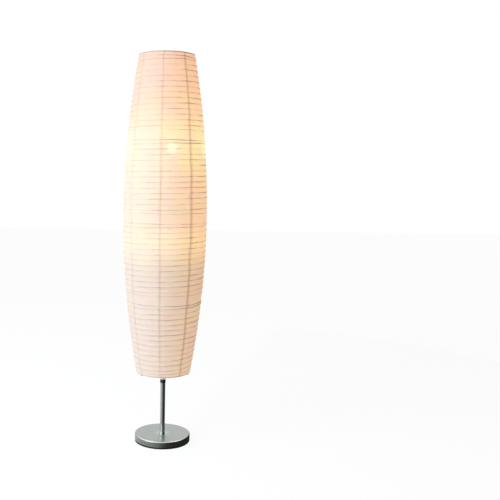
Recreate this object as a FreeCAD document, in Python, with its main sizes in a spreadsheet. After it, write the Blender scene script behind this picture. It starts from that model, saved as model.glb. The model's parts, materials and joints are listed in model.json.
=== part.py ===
import FreeCAD, Part
import math
import os

import Sketcher
from FreeCAD import Placement, Rotation, Vector

# Paper lantern floor lamp, in millimetres. +Z is up, the origin is on the floor under the pole and -Y is the
# front. Azimuths are measured from the front towards +X.

doc = FreeCAD.newDocument("paper_lantern_floor_lamp")
sheet = doc.addObject("Spreadsheet::Sheet", "Sizes")

# Driving dimensions: alias, value, meaning.
DRIVING = (
    ("shade_foot", 228.0, "height of the shade's lower edge above the floor"),
    ("shade_height", 993.0, "shade, edge to edge"),
    ("shade_mid_radius", 131.0, "outer radius of the paper half way up"),
    ("shade_end_radius", 86.0, "outer radius of the paper at both edges"),
    ("paper_wall", 0.6, "thickness of the paper"),
    ("panel_count", 8.0, "paper panels round the shade"),
    ("seam_azimuth", -9.0, "azimuth of the first seam between panels"),
    ("end_band", 13.25, "smooth paper between an edge and the nearest section"),
    ("section_gap", 31.5, "smooth paper between two sections"),
    ("section_count", 4.0, "wound sections"),
    ("rib_turns", 13.0, "turns of the rib wire in one section"),
    ("rib_wire", 1.4, "diameter of the rib wire"),
    ("section_wire", 1.8, "diameter of the closed ring at a section's end"),
    ("edge_wire", 2.6, "diameter of the ring in each edge of the shade"),
    ("wire_gap", 0.3, "gap between a wire and the paper or the next wire"),
    ("sheet_gap", 0.1, "gap between two sheets of one paper strip"),
    ("hem_gap", 0.2, "gap round the edge ring inside its hem"),
    ("hem_depth", 5.5, "how far the paper is folded back inside the edge"),
    ("running_gap", 0.3, "gap between pieces that move on each other"),
    ("frame_wire", 2.6, "diameter of the wire arms of both shade frames"),
    ("frame_bend", 5.0, "bend radius of the wire arms"),
    ("arm_count", 3.0, "arms of each shade frame"),
    ("upper_arm_azimuth", 90.0, "azimuth of the upper frame's first arm"),
    ("upper_arm_drop", 10.0, "upper arm's outer end below the shade's top edge"),
    ("upper_hub_radius", 11.0, "radius of the upper frame's hub"),
    ("upper_hub_height", 6.0, "height of the upper frame's hub"),
    ("lower_arm_azimuth", 68.0, "azimuth of the lower frame's first arm"),
    ("lower_arm_overhang", 2.0, "lower arm beyond the shade's end radius"),
    ("lower_arm_flat", 22.0, "level end of a lower arm under the shade's edge"),
    ("peg_inset", 6.8, "centring peg inside the shade's end radius"),
    ("peg_height", 8.0, "centring peg above its arm's centre line"),
    ("lower_hub_radius", 13.0, "radius of the lower frame's hub"),
    ("lower_hub_height", 4.0, "height of the lower frame's hub"),
    ("hub_gap", 0.4, "gap between a hub and what it is slipped over"),
    ("sleeve_foot", 190.0, "height of the black sleeve that carries the lower frame"),
    ("sleeve_height", 22.0, "length of the black sleeve"),
    ("sleeve_wall", 0.95, "wall of the black sleeve"),
    ("pole_radius", 8.0, "outer radius of the pole's tubes"),
    ("pole_wall", 1.0, "wall of the pole's tubes"),
    ("low_joint", 410.0, "height of the joint of the lower and middle tubes"),
    ("high_joint", 800.0, "height of the joint of the middle and upper tubes"),
    ("pole_drop", 41.0, "upper tube's end below the shade's top edge"),
    ("coupler_length", 40.0, "length of the plug that joins two tubes"),
    ("coupler_bore", 4.8, "radius of the leads' way through a coupler"),
    ("fit_gap", 0.05, "radial gap of pressed and screwed pieces"),
    ("tip_plug", 20.0, "stem tip inside the upper tube"),
    ("tip_shoulder", 3.0, "height of the stem tip's shoulder"),
    ("spigot_radius", 5.0, "radius of the spigot that the shade turns on"),
    ("spigot_height", 14.0, "height of that spigot above its shoulder"),
    ("seat_thickness", 2.0, "thickness of the seat washer"),
    ("seat_radius", 9.0, "radius of the seat washer"),
    ("seat_gap", 0.1, "gap under the seat washer and over it"),
    ("base_radius", 89.0, "radius of the base cover"),
    ("base_height", 23.3, "height of the base cover's top above the floor"),
    ("cover_wall", 1.2, "wall of the base cover"),
    ("cover_edge", 3.0, "outer radius of the base cover's rounded edge"),
    ("pad_height", 5.0, "height of the black pad under the base"),
    ("pad_inset", 0.4, "black pad inside the base cover's radius"),
    ("pad_hole", 16.0, "radius of the nut's access hole in the pad"),
    ("weight_gap", 3.8, "gap between the weight and the cover's side wall"),
    ("recess_radius", 15.0, "radius of the nut's recess in the weight"),
    ("recess_depth", 9.0, "depth of the nut's recess in the weight"),
    ("channel_width", 9.0, "width of the cord's channel under the weight"),
    ("channel_depth", 11.0, "depth of the cord's channel under the weight"),
    ("nipple_radius", 4.9, "radius of the threaded tube in the base"),
    ("nipple_bore", 3.6, "bore radius of that tube"),
    ("nipple_tail", 6.5, "threaded tube below the weight's recess"),
    ("nipple_reach", 20.0, "threaded tube inside the pole"),
    ("screw_gap", 0.3, "radial gap of a clearance hole"),
    ("nut_flats", 15.0, "base nut across its flats"),
    ("nut_height", 4.0, "height of the base nut"),
    ("washer_radius", 12.0, "radius of the base washer"),
    ("washer_thickness", 1.2, "thickness of the base washer"),
    ("inlet_height", 12.0, "height of the cord inlet's axis"),
    ("inlet_bore", 3.6, "bore radius of the cord grommet"),
    ("inlet_neck", 4.9, "radius of the cord grommet in the wall"),
    ("inlet_flange", 6.4, "radius of the cord grommet's flanges"),
    ("inlet_flange_thickness", 1.5, "thickness of the cord grommet's flanges"),
    ("socket_offset", 40.0, "distance of the bulbs' axes from the pole's axis"),
    ("upper_bulb_azimuth", 28.0, "azimuth of the upper bulb"),
    ("lower_bulb_azimuth", 173.0, "azimuth of the lower bulb"),
    ("upper_bulb_centre", 936.0, "height of the upper bulb's centre"),
    ("lower_bulb_centre", 655.0, "height of the lower bulb's centre"),
    ("socket_radius", 17.5, "outer radius of a socket"),
    ("socket_cavity", 14.3, "radius of a socket's hollow"),
    ("socket_depth", 38.0, "height of a socket's body"),
    ("socket_floor", 6.0, "thickness of a socket's floor"),
    ("stub_radius", 4.9, "radius of a socket's threaded stub"),
    ("stub_length", 8.0, "length of a socket's threaded stub"),
    ("shell_wall", 0.5, "wall of a socket's screw shell"),
    ("shell_height", 26.0, "height of a socket's screw shell"),
    ("contact_radius", 4.5, "radius of a socket's centre contact"),
    ("contact_height", 2.0, "height of a socket's centre contact"),
    ("socket_nut_flats", 14.0, "socket nut across its flats"),
    ("socket_nut_height", 4.0, "height of a socket nut"),
    ("bracket_plate", 1.6, "thickness of a bracket's plate"),
    ("bracket_width", 12.0, "width of a bracket's plate"),
    ("bracket_eye", 11.0, "radius of a bracket's round end"),
    ("band_radius", 12.0, "outer radius of a bracket's band"),
    ("band_height", 10.0, "height of a bracket's band"),
    ("grub_radius", 1.9, "radius of a bracket's grub screw"),
    ("bulb_radius", 30.0, "radius of a bulb"),
    ("bulb_rise", 72.0, "bulb's centre above its contact tip"),
    ("bulb_shoulder", 24.0, "radius where the bulb's neck meets its globe"),
    ("glass_wall", 0.9, "thickness of a bulb's glass"),
    ("cap_radius", 13.0, "radius of a bulb's screw cap"),
    ("cap_wall", 0.6, "wall of a bulb's screw cap"),
    ("cap_foot", 3.0, "cap's lower end above the contact tip"),
    ("cap_taper", 4.0, "height of the cap's tapered foot"),
    ("cap_top", 29.0, "cap's upper end above the contact tip"),
    ("tip_radius", 4.2, "radius of a bulb's contact tip"),
    ("lead_wire", 1.8, "diameter of a socket lead"),
    ("lead_inset", 3.6, "distance of a lead's upright run from the pole's axis"),
    ("lead_foot", 50.0, "height of the leads' lower ends"),
    ("lead_bend", 12.0, "bend radius of a lead under its socket"),
    ("lead_tail", 3.0, "upright run of a lead below a socket's stub"),
    ("lead_gap", 0.4, "radial gap round a lead in its holes"),
    ("bush_neck", 2.4, "radius of a lead bush in the pole's wall"),
    ("bush_flange", 3.6, "radius of a lead bush's flange"),
    ("bush_flange_thickness", 1.2, "thickness of a lead bush's flange"),
)

# Values worked out from the driving dimensions.
DERIVED = (
    ("shade_top", "shade_foot + shade_height"),
    ("shade_middle", "shade_foot + shade_height / 2"),
    ("shade_swell", "shade_mid_radius - shade_end_radius"),
    ("barrel_arc", "(shade_height ^ 2 / 4 + shade_swell ^ 2) / (2 * shade_swell)"),
    ("section_height", "(shade_height - 2 * end_band - (section_count - 1) * section_gap) / section_count"),
    ("panel_foot", "shade_foot + paper_wall + running_gap"),
    ("panel_top", "shade_top - paper_wall"),
    ("edge_ring_radius", "shade_end_radius - paper_wall - hem_gap - edge_wire / 2"),
    ("edge_ring_inset", "paper_wall + hem_gap + edge_wire / 2"),
    ("hem_outer", "edge_ring_radius - edge_wire / 2 - hem_gap"),
    ("hem_inner", "hem_outer - paper_wall"),
    ("pole_bore", "pole_radius - pole_wall"),
    ("plug_radius", "pole_bore - fit_gap"),
    ("pad_radius", "base_radius - pad_inset"),
    ("cover_inside", "base_height - cover_wall"),
    ("cover_bore", "base_radius - cover_wall"),
    ("weight_radius", "cover_bore - weight_gap"),
    ("recess_top", "pad_height + recess_depth"),
    ("nut_top", "recess_top - washer_thickness"),
    ("nipple_foot", "recess_top - nipple_tail"),
    ("nipple_top", "base_height + nipple_reach"),
    ("pole_top", "shade_top - pole_drop"),
    ("shoulder_top", "pole_top + tip_shoulder"),
    ("seat_foot", "shoulder_top + seat_gap"),
    ("upper_hub_foot", "seat_foot + seat_thickness + seat_gap"),
    ("sleeve_top", "sleeve_foot + sleeve_height"),
    ("bulb_seat", "socket_floor + contact_height + running_gap"),
    ("upper_socket", "upper_bulb_centre - bulb_rise - bulb_seat"),
    ("lower_socket", "lower_bulb_centre - bulb_rise - bulb_seat"),
    ("lead_drop", "stub_length + lead_tail + lead_bend"),
    ("globe_foot", "bulb_rise - sqrt(bulb_radius ^ 2 - bulb_shoulder ^ 2)"),
)


def fill_sheet():
    for row, (alias, value, meaning) in enumerate(DRIVING, 1):
        sheet.set(f"A{row}", alias)
        sheet.set(f"B{row}", str(value))
        sheet.set(f"C{row}", meaning)
        sheet.setAlias(f"B{row}", alias)
    for row, (alias, formula) in enumerate(DERIVED, len(DRIVING) + 2):
        sheet.set(f"A{row}", alias)
        sheet.setAlias(f"B{row}", alias)
        sheet.set(f"B{row}", "=" + formula)
    doc.recompute()


fill_sheet()
NAMES = {row[0] for row in DRIVING + DERIVED}


def size(name):
    return float(sheet.get(name))


def bound(formula):
    """The formula with each size's name pointing at its cell."""
    words, word = [], ""
    for letter in formula + " ":
        if letter.isalnum() or letter == "_":
            word += letter
            continue
        words.append("Sizes." + word if word in NAMES else word)
        words.append(letter)
        word = ""
    return "".join(words).strip()


probe = doc.addObject("App::FeaturePython", "Probe")
probe.addProperty("App::PropertyFloat", "Result")


def value(formula):
    return float(probe.evalExpression(bound(formula)))


def azimuth(degrees, radius=1.0, height=0.0):
    turn = math.radians(degrees)
    return Vector(radius * math.sin(turn), -radius * math.cos(turn), height)


def turn_to(degrees, height=0.0, out=0.0):
    """Placement that carries +X to the given azimuth, moved up and outwards."""
    return Placement(azimuth(degrees, out, height), Rotation(Vector(0, 0, 1), degrees - 90))


def barrel(height, inset="0"):
    """Radius of the shade's barrel at a height, less an inset, as a formula."""
    drop = f"barrel_arc - sqrt(barrel_arc ^ 2 - ({height} - shade_middle) ^ 2)"
    return f"shade_mid_radius - ({drop}) - ({inset})"


# ---- builders ----


def origin_plane(body, role):
    return next(f for f in body.Origin.OriginFeatures if f.Role == role)


def end_at(sketch, edge, point):
    """Which end of a sketch edge lies at a point."""
    return min((1, 2), key=lambda end: sketch.getPoint(edge, end).distanceToPoint(point))


def outline(sketch, corners):
    """Closed outline of (x, y) or (x, y, arc radius, bulge sign of the edge that follows) formulas."""
    points = [Vector(value(c[0]), value(c[1]), 0) for c in corners]
    count = len(corners)
    for i, corner in enumerate(corners):
        first, last = points[i], points[(i + 1) % count]
        if len(corner) == 2:
            sketch.addGeometry(Part.LineSegment(first, last), False)
            continue
        radius, sign = value(corner[2]), corner[3]
        chord = last - first
        sagitta = radius - math.sqrt(radius**2 - chord.Length**2 / 4)
        middle = (first + last) / 2 + Vector(chord.y, -chord.x, 0).normalize() * sagitta * sign
        sketch.addGeometry(Part.Arc(first, middle, last), False)
    for i in range(count):
        point = points[i]
        before, after = (i - 1) % count, i
        sketch.addConstraint(
            Sketcher.Constraint(
                "Coincident", before, end_at(sketch, before, point), after, end_at(sketch, after, point)
            )
        )
    for i, corner in enumerate(corners):
        end = end_at(sketch, i, points[i])
        if corner[0] == "0":
            sketch.addConstraint(Sketcher.Constraint("PointOnObject", i, end, -2))
        else:
            bind(sketch, Sketcher.Constraint("DistanceX", -1, 1, i, end, points[i].x), f"x{i}", corner[0])
        bind(sketch, Sketcher.Constraint("DistanceY", -1, 1, i, end, points[i].y), f"y{i}", corner[1])
        if len(corner) > 2:
            bind(sketch, Sketcher.Constraint("Radius", i, value(corner[2])), f"arc{i}", corner[2])


def bind(sketch, constraint, name, formula):
    number = sketch.addConstraint(constraint)
    sketch.renameConstraint(number, name)
    sketch.setExpression(f"Constraints.{name}", bound(formula))


def turned(label, corners, angle=None):
    """Body turned about Z from an outline in the XZ plane."""
    body = doc.addObject("PartDesign::Body", label)
    sketch = body.newObject("Sketcher::SketchObject", f"{label}_outline")
    sketch.AttachmentSupport = (origin_plane(body, "XZ_Plane"), [""])
    sketch.MapMode = "FlatFace"
    outline(sketch, corners)
    revolution = body.newObject("PartDesign::Revolution", f"{label}_turn")
    revolution.Profile = sketch
    revolution.ReferenceAxis = (sketch, ["V_Axis"])
    if angle:
        revolution.setExpression("Angle", bound(angle))
    body.Tip = revolution
    return body


def ring_corners(inner, outer, low, high):
    return [(inner, low), (outer, low), (outer, high), (inner, high)]


def cylinder(label, radius, height, placement=Placement()):
    solid = doc.addObject("Part::Cylinder", label)
    solid.setExpression("Radius", bound(radius))
    solid.setExpression("Height", bound(height))
    solid.Placement = placement
    return solid


def box(label, length, width, height, placement):
    solid = doc.addObject("Part::Box", label)
    for side, formula in (("Length", length), ("Width", width), ("Height", height)):
        solid.setExpression(side, bound(formula))
    solid.Placement = placement
    return solid


def torus(label, ring, wire, height):
    solid = doc.addObject("Part::Torus", label)
    solid.setExpression("Radius1", bound(ring))
    solid.setExpression("Radius2", bound(wire))
    solid.setExpression("Placement.Base.z", bound(height))
    return solid


def cut(label, base, *tools):
    for number, tool in enumerate(tools, 1):
        last = number == len(tools)
        step = doc.addObject("Part::Cut", label if last else f"{label}_cut_{number}")
        step.Base, step.Tool = base, tool
        base = step
    return base


def fuse(label, *pieces):
    joined = doc.addObject("Part::MultiFuse", label)
    joined.Shapes = list(pieces)
    return joined


def group(label, *pieces):
    together = doc.addObject("Part::Compound", label)
    together.Links = list(pieces)
    return together


def shaped(label, shape, placement=Placement()):
    feature = doc.addObject("Part::Feature", label)
    feature.Shape = shape
    feature.Placement = placement
    return feature


def hexagon(label, flats, bore, height, placement):
    prism = doc.addObject("Part::Prism", f"{label}_prism")
    prism.Polygon = 6
    prism.setExpression("Circumradius", bound(f"{flats} / 2 / cos(30 deg)"))
    prism.setExpression("Height", bound(height))
    prism.Placement = placement
    return cut(label, prism, cylinder(f"{label}_bore", bore, height, placement))


def bent_wire(points, bend, wire):
    """Round wire along points in the XZ plane, with an arc at each inner point."""
    corners = [Vector(x, 0, z) for x, z in points]
    edges, start = [], corners[0]
    for before, corner, after in zip(corners, corners[1:], corners[2:]):
        back = (before - corner).normalize()
        ahead = (after - corner).normalize()
        half_angle = back.getAngle(ahead) / 2
        reach = bend / math.tan(half_angle)
        inward = (back + ahead).normalize()
        depth = bend / math.sin(half_angle) - bend
        entry, leave = corner + back * reach, corner + ahead * reach
        edges.append(Part.LineSegment(start, entry).toShape())
        edges.append(Part.Arc(entry, corner + inward * depth, leave).toShape())
        start = leave
    edges.append(Part.LineSegment(start, corners[-1]).toShape())
    heading = (corners[1] - corners[0]).normalize()
    section = Part.Wire([Part.makeCircle(wire / 2, corners[0], heading)])
    return Part.Wire(edges).makePipeShell([section], True, False)


# ---- base ----


def base_cover():
    shell = turned(
        "base_cover_shell",
        [
            ("nipple_radius + screw_gap", "cover_inside"),
            ("cover_bore - cover_edge + cover_wall", "cover_inside", "cover_edge - cover_wall", -1),
            ("cover_bore", "cover_inside - cover_edge + cover_wall"),
            ("cover_bore", "pad_height"),
            ("base_radius", "pad_height"),
            ("base_radius", "base_height - cover_edge", "cover_edge", 1),
            ("base_radius - cover_edge", "base_height"),
            ("nipple_radius + screw_gap", "base_height"),
        ],
    )
    rear = Placement(
        Vector(0, size("weight_radius"), size("inlet_height")), Rotation(Vector(1, 0, 0), -90)
    )
    hole = cylinder("base_cover_inlet", "inlet_neck + fit_gap", "base_radius - weight_radius + 1", rear)
    return cut("base_cover", shell, hole)


def base_weight():
    disc = turned(
        "base_weight_disc",
        [
            ("nipple_radius + screw_gap", "recess_top"),
            ("recess_radius", "recess_top"),
            ("recess_radius", "pad_height"),
            ("weight_radius", "pad_height"),
            ("weight_radius", "cover_inside"),
            ("nipple_radius + screw_gap", "cover_inside"),
        ],
    )
    start = Vector(-size("channel_width") / 2, size("recess_radius") / 2, size("pad_height"))
    channel = box(
        "base_weight_channel", "channel_width", "weight_radius", "channel_depth", Placement(start, Rotation())
    )
    return cut("base_weight", disc, channel)


def base_pad():
    return turned("base_pad", ring_corners("pad_hole", "pad_radius", "0", "pad_height"))


def base_washer():
    bore = "nipple_radius + screw_gap"
    return turned("base_washer", ring_corners(bore, "washer_radius", "nut_top", "recess_top"))


def base_nut():
    seat = Placement(Vector(0, 0, size("nut_top") - size("nut_height")), Rotation())
    return hexagon("base_nut", "nut_flats", "nipple_radius + fit_gap", "nut_height", seat)


def pole_nipple():
    return turned("pole_nipple", ring_corners("nipple_bore", "nipple_radius", "nipple_foot", "nipple_top"))


def cord_grommet():
    """Grommet in the cover's rear wall, turned about its own axis and laid along +Y."""
    inner, neck, flange = "inlet_bore", "inlet_neck", "inlet_flange"
    thickness = "inlet_flange_thickness"
    wall = "cover_wall + 2 * running_gap"
    grommet = turned(
        "cord_grommet",
        [
            (inner, "0"),
            (flange, "0"),
            (flange, thickness),
            (neck, thickness),
            (neck, f"{thickness} + {wall}"),
            (flange, f"{thickness} + {wall}"),
            (flange, f"2 * {thickness} + {wall}"),
            (inner, f"2 * {thickness} + {wall}"),
        ],
    )
    depth = value("cover_bore - running_gap - inlet_flange_thickness")
    grommet.Placement = Placement(Vector(0, depth, size("inlet_height")), Rotation(Vector(1, 0, 0), -90))
    return grommet


# ---- pole ----


def pole_tube(label, low, high, *holes):
    if not holes:
        return turned(label, ring_corners("pole_bore", "pole_radius", low, high))
    return cut(label, turned(f"{label}_tube", ring_corners("pole_bore", "pole_radius", low, high)), *holes)


def lead_exit(which):
    """Placement at the pole's axis that looks out along a lead's way through the wall."""
    height = value(f"{which}_socket - lead_drop")
    side = Rotation(Vector(0, 0, 1), size(f"{which}_bulb_azimuth") - 90)
    return Placement(Vector(0, 0, height), side.multiply(Rotation(Vector(0, 1, 0), 90)))


def lead_hole(which):
    return cylinder(f"{which}_lead_hole", "bush_neck + fit_gap", "pole_radius + 1", lead_exit(which))


def pole_foot_insert():
    bore = "nipple_radius + fit_gap"
    return turned("pole_foot_insert", ring_corners(bore, "plug_radius", "base_height", "nipple_top"))


def pole_coupler(label, joint):
    low, high = f"{joint} - coupler_length / 2", f"{joint} + coupler_length / 2"
    return turned(label, ring_corners("coupler_bore", "plug_radius", low, high))


def stem_tip():
    return turned(
        "stem_tip",
        [
            ("0", "pole_top - tip_plug"),
            ("plug_radius", "pole_top - tip_plug"),
            ("plug_radius", "pole_top"),
            ("pole_radius", "pole_top"),
            ("pole_radius", "shoulder_top"),
            ("spigot_radius", "shoulder_top"),
            ("spigot_radius", "shoulder_top + spigot_height - spigot_radius / 2"),
            ("spigot_radius / 2", "shoulder_top + spigot_height"),
            ("0", "shoulder_top + spigot_height"),
        ],
    )


def rest_sleeve():
    inner = "pole_radius + fit_gap"
    return turned("rest_sleeve", ring_corners(inner, f"{inner} + sleeve_wall", "sleeve_foot", "sleeve_top"))


def lead_bush(which):
    bush = turned(
        f"{which}_bush",
        [
            ("lead_wire / 2 + lead_gap", "pole_bore - bush_flange_thickness / 2"),
            ("bush_neck", "pole_bore - bush_flange_thickness / 2"),
            ("bush_neck", "pole_radius + running_gap"),
            ("bush_flange", "pole_radius + running_gap"),
            ("bush_flange", "pole_radius + running_gap + bush_flange_thickness"),
            ("lead_wire / 2 + lead_gap", "pole_radius + running_gap + bush_flange_thickness"),
        ],
    )
    bush.Placement = lead_exit(which)
    return bush


# ---- sockets and bulbs ----


def at_socket(which, height=0.0):
    return turn_to(size(f"{which}_bulb_azimuth"), size(f"{which}_socket") + height, size("socket_offset"))


def bracket(which):
    """Band round the pole with a flat arm that carries the socket."""
    label = f"bracket_{which}"
    side = size(f"{which}_bulb_azimuth")
    low = value(f"{which}_socket - bracket_plate")
    band_foot = turn_to(side, value(f"{which}_socket - band_height"))
    band = cylinder(f"{label}_band", "band_radius", "band_height", band_foot)
    arm_start = turn_to(side, low)
    arm_start.Base += arm_start.Rotation.multVec(Vector(0, -size("bracket_width") / 2, 0))
    arm = box(f"{label}_arm", "socket_offset", "bracket_width", "bracket_plate", arm_start)
    eye = cylinder(f"{label}_eye", "bracket_eye", "bracket_plate", turn_to(side, low, size("socket_offset")))
    bore = cylinder(f"{label}_bore", "pole_radius + fit_gap", "band_height", band_foot)
    stub_hole = cylinder(
        f"{label}_stub_hole", "stub_radius + screw_gap", "2 * bracket_plate",
        turn_to(side, low - size("bracket_plate") / 2, size("socket_offset")),
    )
    grub_hole = cylinder(f"{label}_grub_hole", "grub_radius + fit_gap", "band_radius + 1", grub_place(which))
    return cut(label, fuse(f"{label}_blank", band, arm, eye), bore, stub_hole, grub_hole)


def grub_place(which, out=0.0):
    """Looks out from the pole's axis on the side away from the socket, half way up the band."""
    height = value(f"{which}_socket - band_height / 2")
    away = size(f"{which}_bulb_azimuth") + 180
    return Placement(
        azimuth(away, out, height),
        Rotation(Vector(0, 0, 1), away - 90).multiply(Rotation(Vector(0, 1, 0), 90)),
    )


def grub_screw(which):
    start = value("pole_radius + fit_gap")
    return cylinder(f"{which}_grub", "grub_radius", "band_radius - pole_radius", grub_place(which, start))


def socket_body(which):
    lead_way = "lead_wire / 2 + lead_gap"
    body = turned(
        f"socket_body_{which}",
        [
            (lead_way, "0 - stub_length"),
            ("stub_radius", "0 - stub_length"),
            ("stub_radius", "0"),
            ("socket_radius", "0"),
            ("socket_radius", "socket_depth"),
            ("socket_cavity", "socket_depth"),
            ("socket_cavity", "socket_floor"),
            (lead_way, "socket_floor"),
        ],
    )
    body.Placement = at_socket(which)
    return body


def socket_nut(which):
    seat = at_socket(which, -size("bracket_plate") - size("socket_nut_height"))
    return hexagon(f"{which}_nut", "socket_nut_flats", "stub_radius + fit_gap", "socket_nut_height", seat)


def socket_shell(which):
    outer, top = "socket_cavity - running_gap", "socket_depth - running_gap"
    shell = turned(
        f"socket_shell_{which}", ring_corners(f"{outer} - shell_wall", outer, f"{top} - shell_height", top)
    )
    shell.Placement = at_socket(which)
    return shell


def socket_contact(which):
    contact = cylinder(f"socket_contact_{which}", "contact_radius", "contact_height")
    contact.Placement = at_socket(which, size("socket_floor"))
    return contact


def bulb_glass(which):
    seat = at_socket(which, size("bulb_seat"))

    def globe(label, inset):
        ball = doc.addObject("Part::Sphere", f"{label}_ball")
        ball.setExpression("Radius", bound(f"bulb_radius - {inset}"))
        ball.Placement = Placement(seat.Base + Vector(0, 0, size("bulb_rise")), seat.Rotation)
        neck = doc.addObject("Part::Cone", f"{label}_neck")
        neck.setExpression("Radius1", bound(f"cap_radius - {inset}"))
        neck.setExpression("Radius2", bound(f"bulb_shoulder - {inset}"))
        neck.setExpression("Height", bound("globe_foot - cap_top"))
        neck.Placement = Placement(seat.Base + Vector(0, 0, size("cap_top")), seat.Rotation)
        return fuse(label, ball, neck)

    outside, inside = globe(f"{which}_bulb_outside", "0"), globe(f"{which}_bulb_inside", "glass_wall")
    return cut(f"bulb_glass_{which}", outside, inside)


def bulb_cap(which):
    tip_hole = "tip_radius + running_gap"
    cap = turned(
        f"bulb_cap_{which}",
        [
            (tip_hole, "cap_foot"),
            ("cap_radius - cap_foot", "cap_foot"),
            ("cap_radius", "cap_foot + cap_taper"),
            ("cap_radius", "cap_top"),
            ("cap_radius - cap_wall", "cap_top"),
            ("cap_radius - cap_wall", "cap_foot + cap_taper + cap_wall"),
            ("cap_radius - cap_foot - cap_wall", "cap_foot + cap_wall"),
            (tip_hole, "cap_foot + cap_wall"),
        ],
    )
    cap.Placement = at_socket(which, size("bulb_seat"))
    return cap


def bulb_tip(which):
    tip = cylinder(f"bulb_tip_{which}", "tip_radius", "cap_foot + cap_wall")
    tip.Placement = at_socket(which, size("bulb_seat"))
    return tip


def lead(which):
    """Lead from inside the pole, out through its bush and up into the socket's stub."""
    exit_height = value(f"{which}_socket - lead_drop")
    out = size("socket_offset")
    inner_bend = size("lead_inset") + size("pole_bore") / 2
    inset = size("lead_inset")
    half_way = ((out - inset) / 2, exit_height)
    foot, end = size("lead_foot"), value(f"{which}_socket + socket_floor")
    lower = bent_wire([(-inset, foot), (-inset, exit_height), half_way], inner_bend, size("lead_wire"))
    upper = bent_wire([half_way, (out, exit_height), (out, end)], size("lead_bend"), size("lead_wire"))
    whole = lower.fuse(upper).removeSplitter()
    return shaped(f"lead_{which}", whole, turn_to(size(f"{which}_bulb_azimuth")))


# ---- shade frames ----


def star(label, hub, arm, first_azimuth):
    count = int(size("arm_count"))
    arms = [
        shaped(f"{label}_arm_{k + 1}", arm, turn_to(first_azimuth + 360 / count * k)) for k in range(count)
    ]
    return fuse(label, hub, *arms)


def upper_frame():
    bore = "spigot_radius + hub_gap"
    low, high = "upper_hub_foot", "upper_hub_foot + upper_hub_height"
    hub = turned("upper_frame_hub", ring_corners(bore, "upper_hub_radius", low, high))
    ring_foot = value("shade_top - edge_ring_inset - edge_wire / 2 - fit_gap")
    path = [
        (value(f"({bore} + upper_hub_radius) / 2"), value(f"({low} + {high}) / 2")),
        (size("edge_ring_radius"), value("shade_top - upper_arm_drop")),
        (size("edge_ring_radius"), ring_foot),
    ]
    arm = bent_wire(path, size("frame_wire") / 2 + size("fit_gap"), size("frame_wire"))
    return star("upper_frame", hub, arm, size("upper_arm_azimuth"))


def lower_frame():
    bore = "pole_radius + hub_gap"
    low, high = "sleeve_top", "sleeve_top + lower_hub_height"
    hub = turned("lower_frame_hub", ring_corners(bore, "lower_hub_radius", low, high))
    level = value("shade_foot - running_gap - frame_wire / 2")
    end = value("shade_end_radius + lower_arm_overhang")
    path = [
        (value(f"({bore} + lower_hub_radius) / 2"), value(f"({low} + {high}) / 2")),
        (end - size("lower_arm_flat"), level),
        (end, level),
    ]
    rod = bent_wire(path, size("frame_bend"), size("frame_wire"))
    peg_place = Vector(value("shade_end_radius - peg_inset"), 0, level)
    peg = Part.makeCylinder(size("frame_wire") / 2, size("peg_height"), peg_place)
    return star("lower_frame", hub, rod.fuse(peg), size("lower_arm_azimuth"))


def seat_washer():
    bore, high = "spigot_radius + running_gap", "seat_foot + seat_thickness"
    return turned("seat_washer", ring_corners(bore, "seat_radius", "seat_foot", high))


# ---- shade ----


def hem(label, edge, inward):
    """Paper folded over the edge ring: a flat rim and a short wall inside. inward is + at the foot."""
    rim = f"{edge} {inward} paper_wall"
    return turned(
        label,
        [
            ("hem_inner", edge),
            ("shade_end_radius", edge),
            ("shade_end_radius", rim),
            ("hem_outer", rim),
            ("hem_outer", f"{edge} {inward} hem_depth"),
            ("hem_inner", f"{edge} {inward} hem_depth"),
        ],
    )


def edge_ring(label, height):
    return torus(label, "edge_ring_radius", "edge_wire / 2", height)


def section_foot(number):
    return f"(shade_foot + end_band + {number - 1} * (section_height + section_gap))"


def sheet_edge(number):
    """Height where a section's sheet meets the one below, in the middle of the smooth band."""
    return f"({section_foot(number)} - section_gap / 2)"


def paper_sheet(panel, number):
    """The sheet of one strip round one wound section, its wall part of the shade's long arc."""
    inner_arc = "(barrel_arc - paper_wall)"

    def inner(height):
        return f"shade_mid_radius - barrel_arc + sqrt({inner_arc} ^ 2 - ({height} - shade_middle) ^ 2)"

    last = int(size("section_count"))
    low = "panel_foot" if number == 1 else f"({sheet_edge(number)} + sheet_gap / 2)"
    high = "panel_top" if number == last else f"({sheet_edge(number + 1)} - sheet_gap / 2)"
    sheet = turned(
        f"paper_panel_{panel}_sheet_{number}",
        [
            (barrel(low), low, "barrel_arc", 1),
            (barrel(high), high),
            (inner(high), high, inner_arc, -1),
            (inner(low), low),
        ],
        "360 / panel_count",
    )
    step = 360 / size("panel_count")
    sheet.Placement = Placement(
        Vector(0, 0, 0), Rotation(Vector(0, 0, 1), size("seam_azimuth") - 90 + step * (panel - 1))
    )
    return sheet


def paper_panel(number):
    """One strip of paper from edge to edge, pasted up from a sheet for each wound section."""
    sheets = range(1, int(size("section_count")) + 1)
    return group(f"paper_panel_{number}", *[paper_sheet(number, sheet) for sheet in sheets])


def section_rings(number):
    inset = "paper_wall + wire_gap + section_wire / 2"
    low = section_foot(number)
    high = f"({low} + section_height)"
    return group(
        f"section_rings_{number}",
        *(
            torus(f"section_ring_{number}_{k}", barrel(height, inset), "section_wire / 2", height)
            for k, height in enumerate((low, high), 1)
        ),
    )


def biarc(start, start_way, end, end_way):
    """Two arcs that meet in a tangent and leave and reach the ends along the given ways."""
    chord, ways = end - start, start_way + end_way
    spread = 2 * (1 - start_way.dot(end_way))
    along = chord.dot(ways)
    reach = (-along + math.sqrt(along**2 + spread * chord.dot(chord))) / spread
    joint = (start + end + (start_way - end_way) * reach) / 2
    return [arc_from(start, start_way, joint), arc_from(end, end_way * -1, joint)]


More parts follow.
